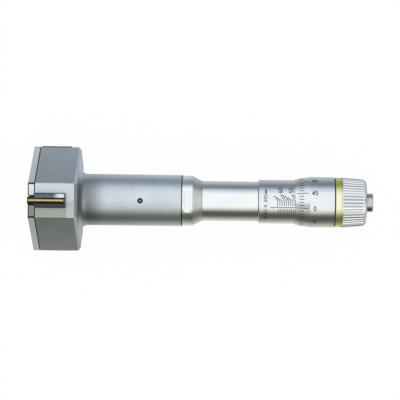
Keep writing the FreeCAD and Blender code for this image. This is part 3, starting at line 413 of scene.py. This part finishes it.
def inkBars(strokes, width, radiusAt, proud, sunk):
    # Each stroke is a line of (x, s): x along the axis, s round the surface from its top towards +Y, in mm.
    # With t the direction of the line and n = (-t_s, t_x), the four corners of a bar are
    # (x, s) +- n width/2 at r = R(x) + proud or R(x) - sunk, and a point is (x, r sin(s/R), r cos(s/R)).
    corners = np.array([[-0.5, -sunk], [0.5, -sunk], [0.5, proud], [-0.5, proud]])
    points, faces, count = [], [], 0
    for line in strokes:
        line = np.asarray(line, float)
        t = np.gradient(line, axis=0)
        t /= np.linalg.norm(t, axis=1, keepdims=True)
        n = np.stack([-t[:, 1], t[:, 0]], axis=1)
        flat = line[:, None, :] + corners[None, :, :1] * width * n[:, None, :]
        x, s = flat[..., 0], flat[..., 1]
        surfaceRadius = radiusAt(x)
        r = surfaceRadius + corners[None, :, 1]
        angle = s / surfaceRadius
        points.append(np.stack([x, r * np.sin(angle), r * np.cos(angle)], axis=-1).reshape(-1, 3))
        rings = count + 4 * np.arange(len(line) - 1)[:, None]
        side = np.arange(4)[None, :]
        after = (side + 1) % 4
        quads = np.stack([rings + side, rings + 4 + side, rings + 4 + after, rings + after], axis=-1)
        last = count + 4 * (len(line) - 1)
        faces += quads.reshape(-1, 4).tolist()
        faces += [[count, count + 1, count + 2, count + 3], [last + 3, last + 2, last + 1, last]]
        count = last + 4
    return np.concatenate(points), faces


def evenly(line, step):
    # the same line with points no further apart than step, found by its length from the start
    line = np.asarray(line, float)
    lengths = np.concatenate([[0], np.cumsum(np.linalg.norm(np.diff(line, axis=0), axis=1))])
    extra = np.linspace(0, lengths[-1], max(2, int(np.ceil(lengths[-1] / step)) + 1))
    places = np.union1d(np.round(extra, 5), np.round(lengths, 5))
    return np.stack([np.interp(places, lengths, line[:, k]) for k in (0, 1)], axis=1)


def arc(cx, cy, rx, ry, start, stop, count=14):
    # (cx + rx cos a, cy + ry sin a) for a from start to stop degrees
    a = np.radians(np.linspace(start, stop, count))
    return np.stack([cx + rx * np.cos(a), cy + ry * np.sin(a)], axis=1)


# plain upright figures in a box 0.6 wide and 1 high, as single lines
figures = {
    "0": [arc(0.3, 0.5, 0.24, 0.46, 90, 450, 26)],
    "1": [np.array([(0.14, 0.78), (0.34, 0.96), (0.34, 0.04)])],
    "2": [np.concatenate([arc(0.3, 0.7, 0.23, 0.26, 165, -30), [(0.06, 0.05), (0.55, 0.05)]])],
    "3": [np.concatenate([arc(0.28, 0.73, 0.22, 0.23, 150, -75), arc(0.28, 0.27, 0.25, 0.24, 75, -150)])],
    "4": [np.array([(0.44, 0.04), (0.44, 0.96), (0.04, 0.3), (0.58, 0.3)])],
    "5": [np.concatenate([
        [(0.52, 0.95), (0.13, 0.95), (0.1, 0.52)], arc(0.28, 0.31, 0.26, 0.27, 115, -150)])],
    "6": [np.concatenate([arc(0.5, 0.42, 0.42, 0.54, 100, 180), arc(0.31, 0.3, 0.23, 0.26, 180, 540, 22)])],
    "7": [np.array([(0.06, 0.95), (0.55, 0.95), (0.22, 0.04)])],
    "8": [arc(0.3, 0.73, 0.2, 0.22, -90, 270, 22), arc(0.3, 0.27, 0.24, 0.24, 90, 450, 22)],
    "9": [np.concatenate([arc(0.1, 0.58, 0.42, 0.54, -80, 0), arc(0.29, 0.7, 0.23, 0.26, 0, 360, 22)])],
    ".": [np.array([(0.27, 0.05), (0.35, 0.05)])],
    "-": [np.array([(0.12, 0.45), (0.48, 0.45)])],
    "m": [
        np.array([(0.06, 0.04), (0.06, 0.62)]),
        np.concatenate([arc(0.2, 0.48, 0.14, 0.15, 180, 0, 9), [(0.34, 0.04)]]),
        np.concatenate([arc(0.48, 0.48, 0.14, 0.15, 180, 0, 9), [(0.62, 0.04)]])],
}


def writing(text, x, s, height, pitch, turned):
    # Figures of a height in mm, centred on (x, s). Upright they run along X; turned, they run round the
    # surface towards +Y with their heads to -X: (x, s) = centre + (-v, u) instead of (u, v).
    strokes = []
    for place, sign in enumerate(text):
        for line in figures[sign]:
            u = (np.asarray(line)[:, 0] - 0.3) * height + (place - (len(text) - 1) / 2) * pitch
            v = (np.asarray(line)[:, 1] - 0.5) * height
            path = np.stack([x - v, s + u], axis=1) if turned else np.stack([x + u, s + v], axis=1)
            strokes.append(evenly(path, 0.3))
    return strokes


# The coated cap on each anvil's nose: an outline in (x, w) with rounded front corners, raised from one
# height to another; w is measured across the anvil and h from the axis, and the whole is turned by a, so
# that a point is (x, h sin a + w cos a, h cos a - w sin a)
noseCap = {
    "front": 0.03,
    "back": 3.1,
    "halfWidth": 1.92,
    "corner": 0.9,          # radius of the front corners
    "cornerPoints": 9,
    "heights": (20.0, 26.9),
    "topEdge": 0.2,         # bevel round the top
    "turns": {"top_anvil": 0.0, "right_anvil": -120.0, "left_anvil": 120.0},
}


def noseCaps(s):
    corner, half = s["corner"], s["halfWidth"]
    low, high = s["heights"]
    t = np.linspace(0, pi / 2, s["cornerPoints"])
    x = s["front"] + corner * (1 - np.sin(t))
    w = half - corner * (1 - np.cos(t))
    outline = np.stack([np.concatenate([[s["back"]], x, x[::-1], [s["back"]]]),
                        np.concatenate([[half], w, -w[::-1], [-half]])], axis=1)
    centre = np.array([s["back"], 0.0])
    inset = centre + (outline - centre) * (1 - s["topEdge"] / half)
    rings = [(outline, low), (outline, high - s["topEdge"]), (inset, high)]
    flat = np.concatenate([np.column_stack([ring, np.full(len(ring), h)]) for ring, h in rings])
    count = len(outline)
    i = np.arange(count)
    after = (i + 1) % count
    faces = [face for k in (0, 1) for face in np.stack(
        [k * count + i, k * count + after, (k + 1) * count + after, (k + 1) * count + i], axis=1).tolist()]
    faces += [list(range(count))[::-1], list(range(2 * count, 3 * count))]
    for body, turn in s["turns"].items():
        a = radians(turn)
        x, w, h = flat.T
        points = np.stack([x, h * np.sin(a) + w * np.cos(a), h * np.cos(a) - w * np.sin(a)], axis=1)
        newPiece(body + "_nose_cap", points, faces, titaniumNitride, body)


noseCaps(noseCap)

# A wider blend where the stem grows out of the block's back face: a ring whose outer profile is a quarter
# circle, (x, r) = (face + R - R sin t, stem + R - R cos t) for t from 0 to 90 degrees, turned about the axis
stemBlend = {
    "face": 22.2,
    "stem": 11.9,
    "radius": 3.7,
    "sunk": 0.06,           # how far it reaches into block and stem
    "arcPoints": 16,
    "around": 128,
}


def blendRing(s):
    t = np.linspace(0, pi / 2, s["arcPoints"])
    x = s["face"] + s["radius"] * (1 - np.sin(t))
    r = s["stem"] + s["radius"] * (1 - np.cos(t))
    x = np.concatenate([x, [s["face"] - s["sunk"], s["face"] - s["sunk"], x[0]]])
    r = np.concatenate([r, [r[-1], s["stem"] - s["sunk"], s["stem"] - s["sunk"]]])
    a = np.linspace(0, 2 * pi, s["around"], endpoint=False)[:, None]
    points = np.stack([x + 0 * a, r * np.sin(a), r * np.cos(a)], axis=-1).reshape(-1, 3)
    steps, rings = len(x), s["around"]
    i, j = np.meshgrid(np.arange(rings), np.arange(steps), indexing="ij")
    after, beside = (i + 1) % rings, (j + 1) % steps
    faces = np.stack([i * steps + j, after * steps + j, after * steps + beside, i * steps + beside], axis=-1)
    piece = newPiece(
        "stem_root_blend", points, faces.reshape(-1, 4), satinChromedSteel, "frame")
    piece.data.shade_smooth()
    piece.data.set_sharp_from_angle(angle=radians(35))


blendRing(stemBlend)
print("nose caps and stem blend made")

sleeveScale = {
    "radius": 10.1,
    "edge": 121.9,          # front edge of the thimble
    "reading": 54.9,        # what it shows there
    "most": 63,
    "indexTurn": -13.3,     # degrees from the top, towards +Y
    "index": (110.4, 126.6),    # the index line, which ends under the thimble
    "foot": 0.72,           # of a millimetre mark above the index line
    "knee": 0.6,            # where a mark bends towards its figure
    "first": 0.7,           # height of a mark's figure, and how much higher the next one stands
    "rise": 0.63,
    "lean": (0.4, 0.4),     # how far a figure stands in front of its mark, and more with its height
    "gap": (0.25, 0.3),     # free space between a mark's end and its figure
    "tall": ((-1.15, 2.5), (-1.75, 3.9)),   # the two upper points of a labelled mark
    "tallFigure": (-1.8, 5.8),
    "halfMarks": (-3.05, -5.1),     # the half millimetres' marks below the index line, from and to
    "line": 0.29,
    "figure": 0.85,
    "bigFigure": 2.1,
    "pitch": 1.45,
    "figureLine": 0.34,
    "texts": (("0.005mm", 108.2, 1.9, 1.5, 1.24), ("50-63", 108.2, -6.2, 1.5, 1.1)),    # x, s, height, pitch
    "textLine": 0.27,
    "proud": 0.012,         # how far the ink stands out and reaches in
    "sunk": 0.02,
}


def sleeveMarks(s):
    # marks ride on the sleeve under the thimble too, because it runs back over them
    index = radians(s["indexTurn"]) * s["radius"]
    start, stop = s["index"]
    lines = [evenly([(start, index), (stop, index)], 0.5)]
    figureLines, textLines = [], []
    for value in range(50, s["most"] + 1):
        x = s["edge"] - (value - s["reading"])
        if x > stop:
            continue
        foot = (x, index + s["foot"])
        step = value % 5
        if step == 0:
            lines.append(evenly([foot, (x, s["knee"]), *((x + dx, up) for dx, up in s["tall"])], 0.3))
            dx, up = s["tallFigure"]
            figureLines += writing(str(value), x + dx, up, s["bigFigure"], s["pitch"], True)
        else:
            height = s["first"] + s["rise"] * step
            shift = s["lean"][0] + s["lean"][1] * height
            end = (x - shift + s["gap"][0], height - s["gap"][1])
            lines.append(evenly([foot, (x, s["knee"]), end], 0.3))
            textLines += writing(str(step), x - shift, height, s["figure"], 1.0, True)
        if value + 0.5 < s["most"]:
            high, low = s["halfMarks"]
            lines.append(evenly([(x - 0.5, high), (x - 0.5, low)], 0.3))
    for words, *place in s["texts"]:
        textLines += writing(words, *place, True)
    onSleeve = lambda x: np.full_like(x, s["radius"])
    for name, strokes, width in (
            ("sleeve_lines", lines, s["line"]), ("sleeve_figures", figureLines, s["figureLine"]),
            ("sleeve_text", textLines, s["textLine"])):
        points, faces = inkBars(strokes, width, onSleeve, s["proud"], s["sunk"])
        newPiece(name, points, faces, markInk, "frame")
    return len(lines), len(figureLines)


thimbleScale = {
    "edge": 121.9,
    "edgeRadius": 10.5,
    "bevel": 6.9,
    "radius": 11.65,
    "divisions": 50,
    "plainLine": (123.8, 125.9),        # along the axis, from and to
    "labelledLine": (122.8, 128.1),
    "figureEvery": 5,
    "figurePlace": 130.9,
    "figure": 2.15,
    "pitch": 1.45,
    "line": 0.3,
    "figureLine": 0.38,
    "proud": 0.012,
    "sunk": 0.02,
}


def thimbleMarks(t):
    # R(x) = edgeRadius + (radius - edgeRadius) (x - edge) / bevel on the bevel, and radius behind it
    def onThimble(x):
        return np.interp(x, [t["edge"], t["edge"] + t["bevel"]], [t["edgeRadius"], t["radius"]])

    lines, figureLines = [], []
    for division in range(t["divisions"]):
        turn = radians(sleeveScale["indexTurn"] - division * 360 / t["divisions"])
        turn = (turn + pi) % (2 * pi) - pi
        labelled = division % t["figureEvery"] == 0
        x = np.linspace(*t["labelledLine" if labelled else "plainLine"], 6)
        lines.append(np.stack([x, turn * onThimble(x)], axis=1))
        if labelled:
            figureLines += writing(
                str(division), t["figurePlace"], turn * t["radius"], t["figure"], t["pitch"], False)
    for name, strokes, width in (
            ("thimble_lines", lines, t["line"]), ("thimble_figures", figureLines, t["figureLine"])):
        points, faces = inkBars(strokes, width, onThimble, t["proud"], t["sunk"])
        newPiece(name, points, faces, markInk, "thimble")
    return len(lines), len(figureLines)


print("sleeve marks:", sleeveMarks(sleeveScale), "thimble marks:", thimbleMarks(thimbleScale))


# Set: floor, light, reflection sheets and camera

studio = {
    "floor": -18.5,
    "floorSize": 4000.0,
    "floorWhite": 0.96,     # how much of the floor's look is plain white where it is seen
    "skyLevel": 1.0,
}

# What the chrome reflects beside the tool: grey sheets that lie on the table and stand up some way off.
# Seen from the tool at an angle in degrees from straight up, each is dark in between and gets brighter from
# one angle to another, up to a level: towards the sky, and towards the tool's foot on the table.
# Its shares multiply the level at places along the other axis.
sheets = {
    "cool_sheet": {
        "axis": "y",
        "wall": 300,            # where it stands up
        "angles": (180, 49.1),  # from the tool's foot to its upper edge
        "dark": 0.27,
        "sky": (90, 50, 1.0),
        "foot": (91, 126, 0.64),
        "shares": ((-700, 0.95), (20, 1.0), (45, 1.1), (62, 1.35), (78, 0.95), (850, 0.95)),
        "tint": "#EAF6FF",
    },
    "warm_sheet": {
        "axis": "y",
        "wall": -300,
        "angles": (180, 26.6),
        "dark": 0.1,
        "sky": (70, 26, 1.0),
        "foot": (87, 131, 0.66),
        "shares": (
            (-700, 0.66), (20, 0.72), (34, 0.95), (50, 1.08), (62, 1.3), (76, 1.05), (230, 1.1), (320, 1.8),
            (850, 1.8)),
        "tint": "#FBFEF0",
    },
    "front_sheet": {
        "axis": "x",
        "wall": -350,
        "angles": (93, 39.8),
        "dark": 0.34,
        "sky": (71, 30, 1.0),
        "foot": (84, 93, 0.4),
        "shares": ((-299, 1.0), (299, 1.0)),
        "tint": "#F6FAFF",
    },
    "back_sheet": {
        "axis": "x",
        "wall": 510,
        "angles": (92.1, 50.5),
        "dark": 0.18,
        "sky": (81, 50, 1.0),
        "foot": (86, 92, 0.22),
        "shares": ((-299, 1.0), (299, 1.0)),
        "tint": "#F6FAFF",
    },
}
sheetDepth = 18.4       # of the table under the tool's axis
sheetRows = 60

# The large soft light over the table, as the flats and the bevel reflect it: the tool's box hides a patch
# of it to the left of the head, more of it on the near side
ceiling = {
    "height": 905.0,
    "reach": ((-700.0, 850.0), (-760.0, 760.0)),
    "count": 110,
    "level": 1.04,
    "patches": (
        # share hidden, then where it starts, is full, ends being full and stops, along X and along Y
        (0.62, (-35, -60, -100, -135), (-14, -40, -200, -300)),
        (0.62, (-110, -150, -280, -460), (30, -330, -761, -800)),
    ),
}

view = {
    "place": (91.7, 25.52, 900.0),
    "turn": (-1.59, 0.898, 0.674),
    "lens": 174.2,
    "sensor": 36.0,
}


def flatSheet(name, points, faces, material):
    mesh = bpy.data.meshes.new(name)
    mesh.from_pydata((np.asarray(points, float) * mm).tolist(), [], [list(map(int, f)) for f in faces])
    mesh.materials.append(material)
    sheet = bpy.data.objects.new(name, mesh)
    bpy.context.scene.collection.objects.link(sheet)
    return sheet


def seenDirectly(tree):
    # 1 for the camera and for what metal and glass show, 0 where the surface lights the object
    path = addNode(tree, "ShaderNodeLightPath")
    first = addNode(tree, "ShaderNodeMath", {
        0: path.outputs["Is Camera Ray"], 1: path.outputs["Is Glossy Ray"]}, operation="MAXIMUM")
    seen = addNode(tree, "ShaderNodeMath", {
        0: first.outputs["Value"], 1: path.outputs["Is Transmission Ray"]}, operation="MAXIMUM")
    return seen.outputs["Value"]


# a white table top that keeps the object's soft shadow
tableTop, tree = emptyMaterial("white_table_top")
paper = addNode(tree, "ShaderNodeBsdfDiffuse", {"Color": linear("#FDFDFD")})
glow = addNode(tree, "ShaderNodeEmission", {"Color": (1.0, 1.0, 1.0, 1.0), "Strength": 1.0})
share = addNode(tree, "ShaderNodeMath", {
    0: seenDirectly(tree), 1: studio["floorWhite"]}, operation="MULTIPLY")
seen = addNode(tree, "ShaderNodeMixShader", {
    0: share.outputs["Value"], 1: paper.outputs["BSDF"], 2: glow.outputs["Emission"]})
addNode(tree, "ShaderNodeOutputMaterial", {"Surface": seen.outputs["Shader"]})
half, low = studio["floorSize"] / 2, studio["floor"]
corners = [(-half, -half, low), (half, -half, low), (half, half, low), (-half, half, low)]
flatSheet("floor", corners, [(0, 1, 2, 3)], tableTop)


def reflected(name, points, faces, brightness, tint):
    # a grey sheet that only the metal sees, so that it shows its roundness
    grey, tree = emptyMaterial(name)
    level = addNode(tree, "ShaderNodeAttribute", attribute_name="brightness")
    shine = addNode(tree, "ShaderNodeEmission", {"Color": linear(tint), "Strength": level.outputs["Fac"]})
    addNode(tree, "ShaderNodeOutputMaterial", {"Surface": shine.outputs["Emission"]})
    sheet = flatSheet(name, points, faces, grey)
    levels = sheet.data.attributes.new("brightness", "FLOAT", "POINT")
    levels.data.foreach_set("value", np.asarray(brightness, float).ravel())
    sheet.visible_camera = sheet.visible_diffuse = sheet.visible_shadow = sheet.visible_transmission = False


def fall(values, start, stop):
    # 0 at start, 1 at stop, and smooth between: t t (3 - 2t)
    t = np.clip((values - start) / (stop - start), 0, 1)
    return t * t * (3 - 2 * t)


def greySheet(name, s):
    # At an angle a the table is depth tan(180 - a) away, as far as the wall, whose height is wall/tan(a),
    # down to the table. The level is dark, plus what sky and foot add to it by their smooth rises.
    angles = np.linspace(*s["angles"], sheetRows)
    a = np.radians(angles)
    wall = abs(s["wall"])
    far = np.where(angles > 90, np.minimum(wall, sheetDepth * np.tan(pi - a)), wall) * np.sign(s["wall"])
    high = np.maximum(-sheetDepth, wall / np.tan(a))
    level = np.full_like(a, s["dark"])
    for start, full, brightest in (s["sky"], s["foot"]):
        level += (brightest - s["dark"]) * fall(angles, start, full)
    places, share = np.array(s["shares"], float).T
    far, high, along = np.broadcast_arrays(far[:, None], high[:, None], places)
    corners = (along, far, high) if s["axis"] == "y" else (far, along, high)
    steps = len(places)
    first = (np.arange(sheetRows - 1)[:, None] * steps + np.arange(steps - 1)).ravel()
    strips = np.stack([first, first + 1, first + steps + 1, first + steps], axis=1)
    reflected(name, np.stack(corners, axis=-1).reshape(-1, 3), strips, np.outer(level, share), s["tint"])


for name, sheet in sheets.items():
    greySheet(name, sheet)

count = ceiling["count"]
along, across = (np.linspace(*reach, count) for reach in ceiling["reach"])
x, y = np.meshgrid(along, across, indexing="ij")
brightness = np.full_like(x, ceiling["level"])
for hidden, (x0, x1, x2, x3), (y0, y1, y2, y3) in ceiling["patches"]:
    brightness -= hidden * fall(x, x0, x1) * fall(x, x3, x2) * fall(y, y0, y1) * fall(y, y3, y2)
first = (np.arange(count - 1)[:, None] * count + np.arange(count - 1)).ravel()
squares = np.stack([first, first + count, first + count + 1, first + 1], axis=1)
reflected(
    "ceiling", np.stack([x, y, np.full_like(x, ceiling["height"])], axis=-1).reshape(-1, 3), squares,
    brightness, "#FDFEFF")

world = bpy.data.worlds.new("studio")
bpy.context.scene.world = world
world.use_nodes = True
world.node_tree.nodes.clear()
tree = world.node_tree
background = addNode(tree, "ShaderNodeBackground", {
    "Color": (1.0, 1.0, 1.0, 1.0), "Strength": studio["skyLevel"]})
addNode(tree, "ShaderNodeOutputWorld", {"Surface": background.outputs["Background"]})

lens = bpy.data.cameras.new("camera")
lens.sensor_width, lens.lens = view["sensor"], view["lens"]
lens.clip_start, lens.clip_end = 0.01, 20.0
camera = bpy.data.objects.new("camera", lens)
camera.location = Vector(view["place"]) * mm
camera.rotation_euler = Euler([radians(a) for a in view["turn"]], "XYZ")
bpy.context.scene.collection.objects.link(camera)
bpy.context.scene.camera = camera
bpy.context.scene.view_settings.view_transform = "Standard"
print("set ready")
